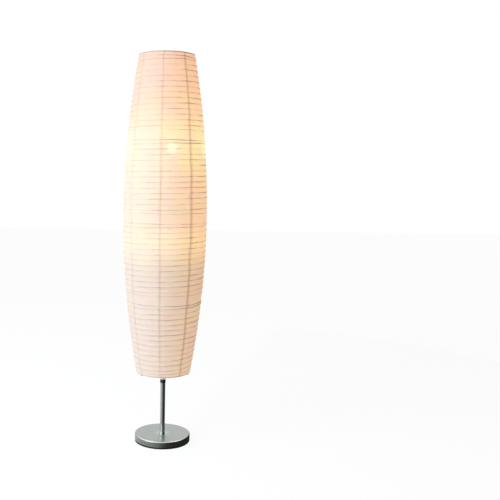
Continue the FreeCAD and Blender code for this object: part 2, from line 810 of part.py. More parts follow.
def arc_from(start, way, end):
    """The arc that leaves start along way and ends at end."""
    chord = end - start
    side = (chord - way * chord.dot(way)).normalize()
    radius = chord.dot(chord) / (2 * chord.dot(side))
    centre = start + side * radius
    middle = centre + ((start - centre) + (end - centre)).normalize() * radius
    return Part.Arc(start, middle, end).toShape()


def rib_spiral(number):
    """Rib wire wound inside the paper from one closed ring of its section to the other."""
    clear = value("section_wire / 2 + wire_gap + rib_wire / 2")
    low = value(section_foot(number)) + clear
    high = value(section_foot(number)) + size("section_height") - clear
    turns = int(size("rib_turns"))
    wire = size("rib_wire")
    inset = value("paper_wall + wire_gap + rib_wire / 2")
    arc, middle, mid_radius = size("barrel_arc"), size("shade_middle"), size("shade_mid_radius")

    def place(turn):
        height = low + (high - low) * turn / turns
        radius = mid_radius - arc + math.sqrt(arc**2 - (height - middle) ** 2) - inset
        angle = 2 * math.pi * turn + math.pi / 2
        return Vector(radius * math.cos(angle), radius * math.sin(angle), height)

    def heading(turn):
        step = 1e-4
        return (place(turn + step) - place(turn - step)).normalize()

    halves = [k / 2 for k in range(2 * turns + 1)]
    edges = []
    for first, last in zip(halves, halves[1:]):
        edges += biarc(place(first), heading(first), place(last), heading(last))
    path = Part.Wire(edges)
    section = Part.Wire([Part.makeCircle(wire / 2, place(0), heading(0))])
    spiral = path.makePipeShell([section], True, False)
    gap = min(
        (place(k / 16 + 1) - place(k / 16 + shift / 64)).Length - wire
        for k in range(16 * (turns - 1))
        for shift in range(-4, 5)
    )
    print(f"rib_spiral_{number}: {turns} turns, least gap to itself {gap:.2f} mm")
    print(f"  volume {spiral.Volume:.1f}, section times length {math.pi * wire**2 / 4 * path.Length:.1f}")
    return shaped(f"rib_spiral_{number}", spiral)


# ---- assembly ----


def build():
    nodes = [
        base_pad(),
        base_weight(),
        base_cover(),
        cord_grommet(),
        base_washer(),
        base_nut(),
        pole_nipple(),
        pole_foot_insert(),
        pole_tube("pole_lower", "base_height", "low_joint"),
        pole_tube("pole_middle", "low_joint", "high_joint", lead_hole("lower")),
        pole_tube("pole_upper", "high_joint", "pole_top", lead_hole("upper")),
        pole_coupler("pole_coupler_lower", "low_joint"),
        pole_coupler("pole_coupler_upper", "high_joint"),
        stem_tip(),
        rest_sleeve(),
        lower_frame(),
        upper_frame(),
        seat_washer(),
    ]
    sides = ("upper", "lower")
    for which in sides:
        nodes += [bracket(which), socket_body(which), socket_shell(which), socket_contact(which)]
        nodes += [bulb_glass(which), bulb_cap(which), bulb_tip(which), lead(which)]
    nodes += [
        group("bracket_screws", *(grub_screw(which) for which in sides)),
        group("socket_nuts", *(socket_nut(which) for which in sides)),
        group("pole_bushes", *(lead_bush(which) for which in sides)),
        edge_ring("top_ring", "shade_top - edge_ring_inset"),
        edge_ring("bottom_ring", "shade_foot + edge_ring_inset"),
        hem("top_hem", "shade_top", "-"),
        hem("bottom_hem", "shade_foot", "+"),
    ]
    nodes += [paper_panel(number) for number in range(1, int(size("panel_count")) + 1)]
    for number in range(1, int(size("section_count")) + 1):
        nodes += [section_rings(number), rib_spiral(number)]
    return nodes


def check_and_write(nodes):
    doc.recompute()
    failed = [o.Label for o in doc.Objects if "Invalid" in o.State or "Error" in o.State]
    if failed:
        raise RuntimeError(f"failed objects: {failed}")
    for node in nodes:
        if node.Shape.isNull() or not node.Shape.isValid() or not node.Shape.Solids:
            raise RuntimeError(f"{node.Label} has no valid solid")
    os.makedirs("parts", exist_ok=True)
    for node in nodes:
        node.Shape.exportStep(os.path.join("parts", f"{node.Label}.step"))
    print(f"{len(nodes)} nodes written")


check_and_write(build())
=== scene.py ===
import json
import math

import bmesh
import bpy
from mathutils import Matrix, Vector, noise


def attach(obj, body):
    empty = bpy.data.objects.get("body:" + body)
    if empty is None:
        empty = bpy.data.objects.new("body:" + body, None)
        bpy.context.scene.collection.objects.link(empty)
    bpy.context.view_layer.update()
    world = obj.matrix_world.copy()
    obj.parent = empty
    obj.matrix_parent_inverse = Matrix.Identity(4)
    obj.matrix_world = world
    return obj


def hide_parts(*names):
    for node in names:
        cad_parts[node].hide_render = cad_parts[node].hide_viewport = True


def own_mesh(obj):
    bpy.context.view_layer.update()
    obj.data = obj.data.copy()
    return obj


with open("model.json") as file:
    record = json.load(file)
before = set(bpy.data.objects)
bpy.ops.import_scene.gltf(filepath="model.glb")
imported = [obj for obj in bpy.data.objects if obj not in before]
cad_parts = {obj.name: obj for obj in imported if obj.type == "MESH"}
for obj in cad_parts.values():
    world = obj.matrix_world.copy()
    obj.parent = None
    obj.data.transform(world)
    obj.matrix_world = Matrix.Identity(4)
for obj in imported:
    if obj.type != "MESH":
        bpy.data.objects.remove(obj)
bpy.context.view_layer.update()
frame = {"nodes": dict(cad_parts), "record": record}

# The shade's measures, in metres, as the solids have them. Azimuth 0 is the front, 90 the right.
FOOT, TOP = 0.228, 1.221
HEIGHT, MIDDLE = TOP - FOOT, (FOOT + TOP) / 2
WAIST_RADIUS, END_RADIUS, MEAN_RADIUS = 0.131, 0.086, 0.12
BULGE = WAIST_RADIUS - END_RADIUS
ARC = (HEIGHT ** 2 / 4 + BULGE ** 2) / (2 * BULGE)

# Paper: eight strips from edge to edge, and a hem round each edge.
PAPER = 0.0006
STRIPS, FIRST_SEAM, LAP = 8, -9.0, 0.0065
STRIP_ANGLE = math.tau / STRIPS
STRIP_ROWS, STRIP_COLUMNS = 472, 38
EDGE_ROOM = 0.0008
LAP_LIFT, LAP_RISE, WAVER, WAVER_SCALE = 0.0008, 0.006, 0.0016, 24
HEM_DEPTH, HEM_GAP, HEM_WAVE, HEM_THINNING = 0.0055, 0.0002, 0.0003, 0.8
HEM_FOLD_BEGINS, HEM_FOLD_STEPS, HEM_STEPS = 0.22, 8, 224

# How the paper sags between the wires, and is crumpled most near SLACK_HEIGHT.
SAG, SAG_REACH, TAUT_EDGE = 0.0012, 0.0042, 0.009
FINE_CRUMPLE, BROAD_CRUMPLE = 0.0005, 0.0005
CREASE, SLACK_CREASE = 0.0006, 0.0010
SLACK_HEIGHT, SLACK_REACH = 0.40, 0.14

# Wires: four wound sections, each between a pair of hoops.
RIB_WIRE, HOOP_WIRE, EDGE_WIRE, WIRE_GAP = 0.0014, 0.0018, 0.0026, 0.0003
SECTIONS, SECTION, SECTION_STEP, FIRST_HOOP = 4, 0.218, 0.2495, 0.24125
TURNS = 13
RIB_START = HOOP_WIRE / 2 + WIRE_GAP + RIB_WIRE / 2
PITCH = (SECTION - 2 * RIB_START) / TURNS
RIB_SIDES, RIB_STEPS = 6, 60
HOOP_SIDES, HOOP_STEPS = 8, 176

# Light painted into the paper's glow: where it comes from, how far it reaches and how strong it is.
UPPER_BULB, LOWER_BULB = Vector((0.0188, -0.0353, 0.936)), Vector((0.0049, 0.0397, 0.655))
BULBS = ((UPPER_BULB, 0.13, 0.30), (LOWER_BULB, 0.14, 0.26))
# Painted hot spots of the bulbs on the paper, on the front, right, rear and left of each: place,
# reach and strength.
PAINTED_HOT_SPOTS = (
    ((0.0190, -0.1235, 0.9335), 0.0125, 0.62), ((0.008, -0.1300, 0.652), 0.045, 0.10),
    ((0.117, -0.037, 0.936), 0.026, 0.35), ((0.012, 0.124, 0.936), 0.034, 0.22),
    ((-0.120, -0.030, 0.936), 0.032, 0.24), ((0.010, 0.130, 0.655), 0.024, 0.40),
    ((0.124, 0.037, 0.655), 0.030, 0.24), ((-0.126, 0.037, 0.655), 0.030, 0.24),
)
# The painted light's colour from the shade's foot, 0, to its top, 1.
GLOW_BY_HEIGHT = (
    (0.0, (0.60, 0.30, 0.10)), (0.32, (0.53, 0.25, 0.066)), (0.43, (0.65, 0.345, 0.065)),
    (0.50, (0.58, 0.275, 0.078)), (0.62, (0.59, 0.31, 0.08)), (0.74, (0.64, 0.42, 0.130)),
    (0.86, (0.65, 0.36, 0.125)), (1.0, (0.65, 0.29, 0.120)),
)

# The dark cards that the silver mirrors. The floor card begins just outside the base.
CARD_RADIUS, CARD_HEIGHT, CARD_TOP, CARD_STEPS = 1.9, 0.0015, 1.7, 40
CARD_INNER_RADIUS = 0.0893

WHITE = (1.0, 1.0, 1.0)
# Where a Mix node keeps its colours.
MIX_FIRST, MIX_SECOND, MIX_RESULT = 6, 7, 2
# Strips and ribs are spun at this radius, and then fitted to the barrel.
START_RADIUS = 0.1
POLE_AXIS = {"axis": (0, 0, 1), "cent": (0, 0, 0)}


# ---------------------------------------------------------------- material nodes

class Wire:
    """An output of a material's nodes. Sums and products of wires and numbers add Math nodes."""

    def __init__(self, tree, socket=None):
        self.tree, self.socket = tree, socket

    def node(self, kind, settings=None, sockets=None, out=0):
        """Adds a node. A socket takes a value or a wire, and the wire of one output comes back."""
        made = self.tree.nodes.new(kind)
        for name, value in (settings or {}).items():
            if name == "stops":
                while len(made.color_ramp.elements) < len(value):
                    made.color_ramp.elements.new(0.5)
                for stop, (place, colour) in zip(made.color_ramp.elements, value):
                    stop.position, stop.color = place, (*colour, 1.0)
            else:
                setattr(made, name, value)
        for name, value in (sockets or {}).items():
            if isinstance(value, Wire):
                self.tree.links.new(value.socket, made.inputs[name])
            else:
                made.inputs[name].default_value = value
        return Wire(self.tree, made.outputs[out]) if made.outputs else None

    def output(self, name):
        """Another output of the same node."""
        return Wire(self.tree, self.socket.node.outputs[name])

    def maths(self, operation, *values):
        return self.node("ShaderNodeMath", {"operation": operation}, dict(enumerate(values)))

    def __add__(self, other):
        return self.maths("ADD", self, other)

    def __sub__(self, other):
        return self.maths("SUBTRACT", self, other)

    def __rsub__(self, other):
        return self.maths("SUBTRACT", other, self)

    def __mul__(self, other):
        return self.maths("MULTIPLY", self, other)

    def __truediv__(self, other):
        return self.maths("DIVIDE", self, other)

    def __rtruediv__(self, other):
        return self.maths("DIVIDE", other, self)

    __radd__, __rmul__ = __add__, __mul__

    def __abs__(self):
        return self.maths("ABSOLUTE", self)

    def __mod__(self, other):
        return self.maths("FLOORED_MODULO", self, other)

    def root(self):
        return self.maths("SQRT", self)

    def larger(self, other):
        return self.maths("MAXIMUM", self, other)

    def smaller(self, other):
        return self.maths("MINIMUM", self, other)

    def ease(self, low, high, at_low=0.0, at_high=1.0):
        """Goes smoothly from at_low to at_high while this wire goes from low to high."""
        return self.node("ShaderNodeMapRange", {"interpolation_type": "SMOOTHSTEP"},
                         {"Value": self, "From Min": low, "From Max": high,
                          "To Min": at_low, "To Max": at_high})

    def fade(self, near, far):
        """1 up to near and 0 from far."""
        return self.ease(near, far, 1.0, 0.0)

    def ramp(self, *stops):
        return self.node("ShaderNodeValToRGB", {"stops": stops}, {"Fac": self})

    def bump(self, distance, strength):
        return self.node("ShaderNodeBump", None,
                         {"Height": self, "Distance": distance, "Strength": strength})

    def split(self):
        """The X, Y and Z of this vector."""
        x = self.node("ShaderNodeSeparateXYZ", None, {0: self}, out="X")
        return x, x.output("Y"), x.output("Z")

    def distance(self, point):
        return self.node("ShaderNodeVectorMath", {"operation": "DISTANCE"}, {0: self, 1: point},
                         out="Value")

    def stretched(self, scale):
        return self.node("ShaderNodeMapping", {"vector_type": "POINT"},
                         {"Vector": self, "Scale": scale})

    def noise(self, scale, detail=3.0, rough=0.55):
        return self.node("ShaderNodeTexNoise", None,
                         {"Vector": self, "Scale": scale, "Detail": detail, "Roughness": rough})


class Finish:
    """One material: where its nodes start, its main shader and its surface."""

    def __init__(self, name):
        self.material = bpy.data.materials.new(name)
        self.material.use_nodes = True
        self.material.node_tree.nodes.clear()
        self.start = Wire(self.material.node_tree)

    def place(self):
        return self.start.node("ShaderNodeTexCoord", out="Object")

    def principled(self, **sockets):
        """The main shader. A _ in a socket's name stands for a blank."""
        return self.start.node("ShaderNodeBsdfPrincipled", None,
                               {name.replace("_", " "): value for name, value in sockets.items()})

    def show(self, shader):
        """Makes a shader the material's surface, and gives back the finish."""
        self.start.node("ShaderNodeOutputMaterial", None, {"Surface": shader})
        return self


def mixed(share, first, second, blend="MIX"):
    """Two colours, each a wire or a triple: the first at a share of 0, the second at 1."""
    wires = [value for value in (share, first, second) if isinstance(value, Wire)]
    sockets = {0: share}
    for slot, colour in ((MIX_FIRST, first), (MIX_SECOND, second)):
        sockets[slot] = colour if isinstance(colour, Wire) else (*colour, 1.0)
    return wires[0].node("ShaderNodeMix", {"data_type": "RGBA", "blend_type": blend}, sockets,
                         out=MIX_RESULT)


def tinted(colour, tint):
    return mixed(1.0, colour, tint, "MULTIPLY")


def combined(red, green, blue):
    return red.node("ShaderNodeCombineColor", None, {0: red, 1: green, 2: blue})


def grey(level):
    return (level, level, level)


def turn_from_front(x, y):
    """The azimuth from the front in whole turns, from -0.5 to 0.5."""
    return x.maths("ARCTAN2", x, 0 - y) / math.tau


def seen_white(start):
    """1 for what the camera, a reflection or clear glass sees, 0 for light on the object."""
    camera = start.node("ShaderNodeLightPath", out="Is Camera Ray")
    mirrored, through = camera.output("Is Glossy Ray"), camera.output("Is Transmission Ray")
    return camera.larger(mirrored.larger(through))


# ---------------------------------------------------------------- shared ways to make a mesh

def round_pole(radius, azimuth, height):
    """A point at a radius from the pole's axis, at an azimuth in radians and a height."""
    return radius * math.sin(azimuth), -radius * math.cos(azimuth), height


def joined(form, points):
    """The edges that join a row of points."""
    return [form.edges.new(pair) for pair in zip(points, points[1:])]


def object_from(form, name, finish):
    """Makes an object of a bmesh, which is freed, and gives it a finish."""
    mesh = bpy.data.meshes.new(name)
    form.to_mesh(mesh)
    form.free()
    mesh.materials.append(finish.material)
    made = bpy.data.objects.new(name, mesh)
    bpy.context.scene.collection.objects.link(made)
    return made


# ---------------------------------------------------------------- camera, light and floor

def place_camera():
    """The photograph's view, from the front and a little downwards."""
    lens = bpy.data.cameras.new("photo_camera")
    lens.lens, lens.sensor_width = 52.92, 36.0
    lens.shift_x, lens.shift_y = 0.171, 0.008
    camera = bpy.data.objects.new("photo_camera", lens)
    camera.location = (0.0, -2.310, 0.857)
    tilt = Matrix.Rotation(math.radians(83.8), 3, "X")
    roll = Matrix.Rotation(math.radians(0.74), 3, "Z")
    camera.rotation_euler = (tilt @ roll).to_euler()
    bpy.context.scene.collection.objects.link(camera)
    bpy.context.scene.camera = camera


def soft_lamp(name, place, target, size, power, colour=WHITE):
    lamp = bpy.data.lights.new(name, "AREA")
    lamp.shape = "RECTANGLE"
    lamp.size, lamp.size_y = size
    lamp.energy, lamp.color = power, colour
    holder = bpy.data.objects.new(name, lamp)
    holder.location = place
    holder.rotation_euler = (Vector(target) - Vector(place)).to_track_quat("-Z", "Y").to_euler()
    bpy.context.scene.collection.objects.link(holder)


def light_the_room():
    """A dim even light, a window on the left and a box overhead, in a room that is seen as white.

    The dome above is brighter in reflections, which gives the silver its light."""
    world = bpy.data.worlds.new("studio")
    bpy.context.scene.world = world
    world.use_nodes = True
    world.node_tree.nodes.clear()
    start = Wire(world.node_tree)
    seen = seen_white(start)
    aim = start.node("ShaderNodeTexCoord", out="Generated").split()[2]
    # from 27 to 41 degrees above the horizon
    dome = aim.ease(0.46, 0.66, 1.0, 3.6)
    room_light = 0.50
    sky = start.node("ShaderNodeBackground", None,
                     {"Color": (*WHITE, 1.0), "Strength": (1 - seen) * room_light + seen * dome})
    start.node("ShaderNodeOutputWorld", None, {"Surface": sky})
    soft_lamp("left_window", (-2.0, -1.3, 1.2), (0.0, 0.0, 0.5), (1.6, 2.0), 50.0,
              (0.74, 0.87, 1.0))
    soft_lamp("overhead_box", (0.0, -1.1, 2.6), (0.0, 0.0, 0.2), (1.6, 0.5), 7.0)


def hang_dark_card(name, begin, sweep, line, darkening):
    """A card round the lamp, for a sweep of degrees. Only reflections see it, so it darkens the
    silver's sides. line has radii with heights, and darkening has azimuths with greys."""
    form = bmesh.new()
    start = math.radians(begin)
    points = [form.verts.new(round_pole(radius, start, height)) for radius, height in line]
    bmesh.ops.spin(form, geom=points + joined(form, points), angle=math.radians(sweep),
                   steps=CARD_STEPS, **POLE_AXIS)
    felt = Finish(name)
    x, y, _ = felt.place().split()
    stops = [(0.5 + azimuth / 360, grey(level)) for azimuth, level in darkening]
    shade = (turn_from_front(x, y) + 0.5).ramp(*stops)
    felt.show(felt.start.node("ShaderNodeEmission", None, {"Color": shade, "Strength": 1.0}))
    card = object_from(form, name, felt)
    card.visible_camera = card.visible_diffuse = False
    card.visible_transmission = card.visible_shadow = False


def lay_floor():
    """A pale floor that is seen as white and keeps the lamp's soft shadow."""
    form = bmesh.new()
    bmesh.ops.create_grid(form, x_segments=2, y_segments=2, size=9.0)
    white = Finish("studio_white")
    painted = white.principled(Base_Color=(*grey(0.9), 1.0), Roughness=0.9)
    glow = white.start.node("ShaderNodeEmission", None, {"Color": (*WHITE, 1.0), "Strength": 1.06})
    share = seen_white(white.start) * 0.82
    white.show(white.start.node("ShaderNodeMixShader", None, {0: share, 1: painted, 2: glow}))
    object_from(form, "studio_floor", white)


# ---------------------------------------------------------------- the shade's shape

def barrel(height):
    """Outer radius of the paper at a height."""
    off = height - MIDDLE
    return WAIST_RADIUS - ARC + math.sqrt(ARC ** 2 - off ** 2)


def inside_paper(height, wire):
    """Radius of the middle of a wire that lies just inside the paper."""
    return barrel(height) - PAPER - WIRE_GAP - wire / 2


def to_wire(turn, height):
    """Distance along the height from the nearest rib or hoop, at an azimuth in turns."""
    up = (height - FIRST_HOOP) % SECTION_STEP
    nearest = min(up, abs(up - SECTION), SECTION_STEP - up)
    if RIB_START < up < SECTION - RIB_START:
        phase = (up - RIB_START) / PITCH - (turn + 0.5)
        nearest = min(nearest, abs((phase + 0.5) % 1.0 - 0.5) * PITCH)
    return nearest


def ripple(place, height, across, along, shift_x=0.0, shift_z=0.0):
    """Noise over the shade. across and along are its scales round the shade and up it."""
    return noise.noise(Vector((place.x * across + shift_x, place.y * across,
                               height * along + shift_z)))


def crumple(turn, height):
    """How far the paper stands in or out of the smooth barrel."""
    around = turn * math.tau
    place = Vector((math.sin(around), -math.cos(around), 0.0)) * MEAN_RADIUS
    broad = ripple(place, height, 14, 9)
    fine = ripple(place, height, 60, 110, shift_z=7)
    creased = abs(ripple(place, height, 42, 60, shift_x=3))
    sag = 1 - math.exp(-(to_wire(turn, height) / SAG_REACH) ** 2)
    sag *= min(1.0, min(height - FOOT, TOP - height) / TAUT_EDGE)
    slack = 1.0 + 0.6 * broad
    low = max(0.0, 1.0 - abs(height - SLACK_HEIGHT) / SLACK_REACH)
    creasing = FINE_CRUMPLE * fine - (CREASE + SLACK_CREASE * low) * creased
    return -SAG * sag * slack + sag * creasing + BROAD_CRUMPLE * broad


def add_piece(form, name, finish, body, stands_for, folds=True):
    """Adds a piece of the shade. Its attribute rest keeps each point's place for the finish."""
    for face in form.faces:
        face.smooth = True
    piece = object_from(form, name, finish)
    rest = piece.data.attributes.new("rest", "FLOAT_VECTOR", "POINT")
    rest.data.foreach_set("vector", [part for vertex in piece.data.vertices for part in vertex.co])
    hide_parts(*stands_for)
    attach(piece, body)
    if folds:
        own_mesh(piece)


def face_outwards(form):
    """Turns an open sheet's faces so that they look away from the pole."""
    form.faces.ensure_lookup_table()
    form.normal_update()
    first = form.faces[0]
    middle = first.calc_center_median()
    if first.normal.x * middle.x + first.normal.y * middle.y < 0:
        bmesh.ops.reverse_faces(form, faces=form.faces[:])


def paper_strip(number, finish):
    """One strip of the shade's paper, from edge to edge, that laps over the next."""
    begin = math.radians(FIRST_SEAM + 360 / STRIPS * (number - 1))
    wide = STRIP_ANGLE + LAP / MEAN_RADIUS
    form = bmesh.new()
    ends = [form.verts.new(round_pole(START_RADIUS, begin, height))
            for height in (FOOT + EDGE_ROOM, TOP - EDGE_ROOM)]
    bmesh.ops.subdivide_edges(form, edges=joined(form, ends), cuts=STRIP_ROWS - 1)
    bmesh.ops.spin(form, geom=form.verts[:] + form.edges[:], angle=wide, steps=STRIP_COLUMNS,
                   **POLE_AXIS)
    for vertex in form.verts:
        height = vertex.co.z
        around = (math.atan2(vertex.co.x, -vertex.co.y) - begin) % math.tau
        if around > math.tau * 0.9:
            # the strip's first column, a hair before its start
            around -= math.tau
        azimuth = begin + around
        if around / wide > 0.5:
            # the far half wavers, so the lap's edge isn't ruled straight
            waver = WAVER * noise.noise(Vector((number * 5.1, height * WAVER_SCALE, 0.0)))
            azimuth += waver / MEAN_RADIUS
        over = (around - STRIP_ANGLE) * MEAN_RADIUS
        lift = LAP_LIFT * min(1.0, max(0.0, (over + LAP_RISE) / LAP_RISE))
        radius = barrel(height) + crumple(azimuth / math.tau, height) + lift
        vertex.co = round_pole(radius, azimuth, height)
    face_outwards(form)
    bmesh.ops.solidify(form, geom=form.faces[:], thickness=PAPER)
    add_piece(form, f"paper_strip_{number}", finish, "shade_top",
              [f"paper_panel_{number}"])


def wire_cut(form, radius, height, wire, sides):
    """The round cut of a wire, behind the pole."""
    matrix = Matrix.Translation((0, radius, height)) @ Matrix.Rotation(math.pi / 2, 4, "Y")
    cut = bmesh.ops.create_circle(form, segments=sides, radius=wire / 2, matrix=matrix)
    return cut["verts"] + [edge for edge in form.edges if edge.is_wire]


def hoop_pair(number, finish):
    """The two closed hoops at the ends of one section."""
    form = bmesh.new()
    low = FIRST_HOOP + SECTION_STEP * (number - 1)
    for height in (low, low + SECTION):
        cut = wire_cut(form, inside_paper(height, HOOP_WIRE), height, HOOP_WIRE, HOOP_SIDES)
        bmesh.ops.spin(form, geom=cut, angle=math.tau, steps=HOOP_STEPS, use_merge=True,
                       **POLE_AXIS)
    bmesh.ops.recalc_face_normals(form, faces=form.faces[:])
    add_piece(form, f"hoops_{number}", finish, "shade_top", [f"section_rings_{number}"])


def winding(number, finish):
    """The rib wire of one section, wound upwards to the right and then fitted to the barrel."""
    form = bmesh.new()
    low = FIRST_HOOP + SECTION_STEP * (number - 1) + RIB_START
    cut = wire_cut(form, START_RADIUS, low, RIB_WIRE, RIB_SIDES)
    bmesh.ops.spin(form, geom=cut, angle=math.tau * TURNS, steps=RIB_STEPS * TURNS,
                   dvec=(0, 0, PITCH / RIB_STEPS), **POLE_AXIS)
    for vertex in form.verts:
        out = math.hypot(vertex.co.x, vertex.co.y)
        grown = (inside_paper(vertex.co.z, RIB_WIRE) + out - START_RADIUS) / out
        vertex.co.x *= grown
        vertex.co.y *= grown
    bmesh.ops.holes_fill(form, edges=[edge for edge in form.edges if edge.is_boundary])
    bmesh.ops.recalc_face_normals(form, faces=form.faces[:])
    add_piece(form, f"rib_winding_{number}", finish, "shade_top",
              [f"rib_spiral_{number}"])


def hem(name, edge, inward, finish, body, stands_for):
    """The paper's edge, folded under the edge ring and up inside. It leaves room for the hoops of
    the folded shade. inward is 1 at the foot and -1 at the top."""
    form = bmesh.new()
    bend = EDGE_WIRE / 2 + HEM_GAP + PAPER
    middle = barrel(edge) - bend
    line = []
    for step in range(HEM_FOLD_STEPS + 1):
        swing = math.pi * (HEM_FOLD_BEGINS + (1 - HEM_FOLD_BEGINS) * step / HEM_FOLD_STEPS)
        height = edge + inward * (bend - bend * math.sin(swing))
        line.append(form.verts.new((0, middle + bend * math.cos(swing), height)))
    line.append(form.verts.new((0, middle - bend, edge + inward * HEM_DEPTH)))
    bmesh.ops.spin(form, geom=line + joined(form, line), angle=math.tau, steps=HEM_STEPS,
                   use_merge=True, **POLE_AXIS)
    bmesh.ops.recalc_face_normals(form, faces=form.faces[:])
    for vertex in form.verts:
        azimuth = math.atan2(vertex.co.x, -vertex.co.y)
        wave = Vector((math.sin(azimuth) * 3, math.cos(azimuth) * 3, edge * 5))
        vertex.co.z += inward * HEM_WAVE * (1 + noise.noise(wave))
    bmesh.ops.solidify(form, geom=form.faces[:], thickness=PAPER * HEM_THINNING)
    add_piece(form, name, finish, body, stands_for, folds=False)


# ---------------------------------------------------------------- the lantern paper's finish

def light_round(rest, points, steepness):
    """Light that falls off round some points, each with its place, reach and strength."""
    total = None
    for place, reach, strength in points:
        off = fall = rest.distance(place) / reach
        for _ in range(steepness - 1):
            fall = fall * off
        light = strength / (1 + fall)
        total = light if total is None else total + light
    return total


def wire_shadow_lines(rest, turn, z):
    """Painted shadows: the lines of ribs and hoops, the ribs' soft shadow, and how unevenly they
    show.

    The lines are pulled out of true a little, and more near SLACK_HEIGHT. A section's lower hoop
    shows from below, and its upper hoop on both sides."""
    wobble = rest.noise(17.0, 2.0) - 0.5
    low = abs(z - SLACK_HEIGHT).fade(0.06, 0.19)
    up = (z + wobble * (0.0032 + low * 0.0045) - FIRST_HOOP) % SECTION_STEP
    hoop = abs(up - SECTION).smaller(SECTION_STEP - up)
    rib = abs(((up - RIB_START) / PITCH - turn) % 1.0 - 0.5) * PITCH
    half = SECTION / 2 - RIB_START
    wound = abs(up - SECTION / 2).fade(half - 0.0004, half)
    lines = (rib.fade(0.0003, 0.0021) * wound).larger(hoop.fade(0.0004, 0.0025))
    uneven = rest.stretched((1.0, 1.0, 3.5)).noise(15.0).ease(0.36, 0.66)
    return lines, rib.fade(0.0004, 0.0062) * wound, uneven


def seam_lines(rest, turn):
    """Painted shade of each seam's line and lapped edge, where the double paper lets less of the
    inner light through; the clearest of them right of the front.
    """
    sway = (rest.stretched((3.0, 3.0, 20.0)).noise(1.0) - 0.5) * 0.0085
    strip = ((turn * 360 - FIRST_SEAM) / (360 / STRIPS) + 0.5) % 1.0 - 0.5
    across = strip * (STRIP_ANGLE * MEAN_RADIUS) + sway
    clear = abs(turn - 0.10).ease(0.03, 0.09, 1.0, 0.12)
    line = abs(across - 0.001).fade(0.0006, 0.0058) * clear
    lapped = abs(across - 0.004).fade(0.0035, 0.006) * clear
    return line, lapped


def lantern_paper_finish():
    """Thin lantern paper, lit from inside by painted light, with the wires and the lapped seams
    showing through as painted shadows.
    """
    paper = Finish("lantern_paper")
    rest = paper.start.node("ShaderNodeAttribute", {"attribute_name": "rest"}, out="Vector")
    x, y, z = rest.split()
    turn, up = turn_from_front(x, y), (z - FOOT) / HEIGHT
    # 0 on the lamp's right and 0.5 on its left
    from_right = abs((turn + 0.28) % 1.0 - 0.5)
    # painted shade by side: the marks show more strongly on the lamp's right than on its left
    side_shading = from_right.ease(0.08, 0.34, 1.25, 0.48)
    lines, soft_rib_shadow, uneven = wire_shadow_lines(rest, turn, z)
    seam, lap = seam_lines(rest, turn)
    # painted shadow of the edge rings along both rims, strongest at the top and on the lamp's right
    rim_shadow = abs(z - MIDDLE).ease(HEIGHT / 2 - 0.0044, HEIGHT / 2 - 0.0014)
    rim_shadow = rim_shadow * from_right.ease(0.10, 0.36, 0.97, 0.45) * z.ease(FOOT, TOP, 0.6, 1.0)
    # the paper's own grain
    fibres = rest.noise(420.0) - 0.5
    clouds = rest.noise(22.0, 4.0) - 0.5
    creases = abs(rest.stretched((1.6, 1.6, 0.55)).noise(60.0) - 0.5)
    pleats = rest.stretched((1.0, 1.0, 7.0)).noise(46.0) - 0.5
    # how bright the painted light from inside is, with painted shade below the lower bulb's socket
    shaded = (z + clouds * 0.02).ease(0.575, 0.625, 0.84, 1.0)
    # the paper's grain in the glow, with painted shade in the creases and on the pleats, stronger
    # on the right
    grain_and_crease_shade = 1 + clouds * 0.16 + fibres * 0.08 - creases * 0.22 + pleats * side_shading * 0.24
    level = (0.80 + light_round(rest, BULBS, 2)) * shaded * grain_and_crease_shade
    # painted light: the glow is brighter on the lamp's right
    level = level * from_right.ease(0.12, 0.21, 1.13, 1.0)
    # painted shadows of the rib and hoop wires darken the glow
    level = level * (1 - lines * side_shading * (0.12 + uneven * 0.50))
    # painted shade of the seams and laps, and the ribs' soft painted shadow
    level = level * (1 - seam * 0.30) * (1 - lap * 0.12) * (1 - soft_rib_shadow * 0.05)
    # the painted light's colour, by height, and less red and bluer on the lamp's left
    glow = tinted(up.ramp(*GLOW_BY_HEIGHT),
                  from_right.ramp((0.12, (1.03, 1.06, 1.08)), (0.34, (0.88, 0.95, 1.25))))
    glow = tinted(glow, combined(level, level, level))
    hue = mixed(rest.noise(13.0, 2.0).ease(0.35, 0.65), (1.03, 0.86, 1.10), (0.98, 1.06, 0.80))
    glow = mixed(0.55, glow, tinted(glow, hue))
    # painted hot spots where the bulbs show through the paper
    hot_spots = light_round(rest, PAINTED_HOT_SPOTS, 4)
    glow = mixed(1.0, glow, combined(hot_spots * 0.10, hot_spots * 0.55, hot_spots * 0.36), "ADD")
    glow = mixed(rim_shadow, glow, (0.03, 0.025, 0.03))
    # the colour that the room's light meets
    body = mixed(rest.noise(9.0), (0.485, 0.485, 0.465), (0.52, 0.515, 0.50))
    # warmer towards the top: painted light of the upper bulb
    body = tinted(body, up.ramp((0.0, WHITE), (0.62, WHITE), (0.84, (0.99, 0.81, 0.77))))
    # painted shadows of the wires in the base colour
    body = mixed(lines * side_shading * (0.10 + uneven * 0.40), body, (0.17, 0.13, 0.11))
    # painted shade of the seams and laps in the base colour
    body = mixed(seam * 0.36, body, (0.26, 0.15, 0.10))
    body = mixed(lap * 0.22, body, (0.36, 0.32, 0.28))
    body = mixed(rim_shadow, body, (0.06, 0.055, 0.06))
    relief = fibres * 0.25 + clouds * 1.2 - creases * 2.0 + pleats * 2.2 + lap * 0.6
    return paper.show(paper.principled(
        Base_Color=body, Roughness=0.85, Specular_IOR_Level=0.15,
        Emission_Color=glow, Emission_Strength=1.0, Normal=relief.bump(0.0008, 0.7)))


# ---------------------------------------------------------------- the other finishes

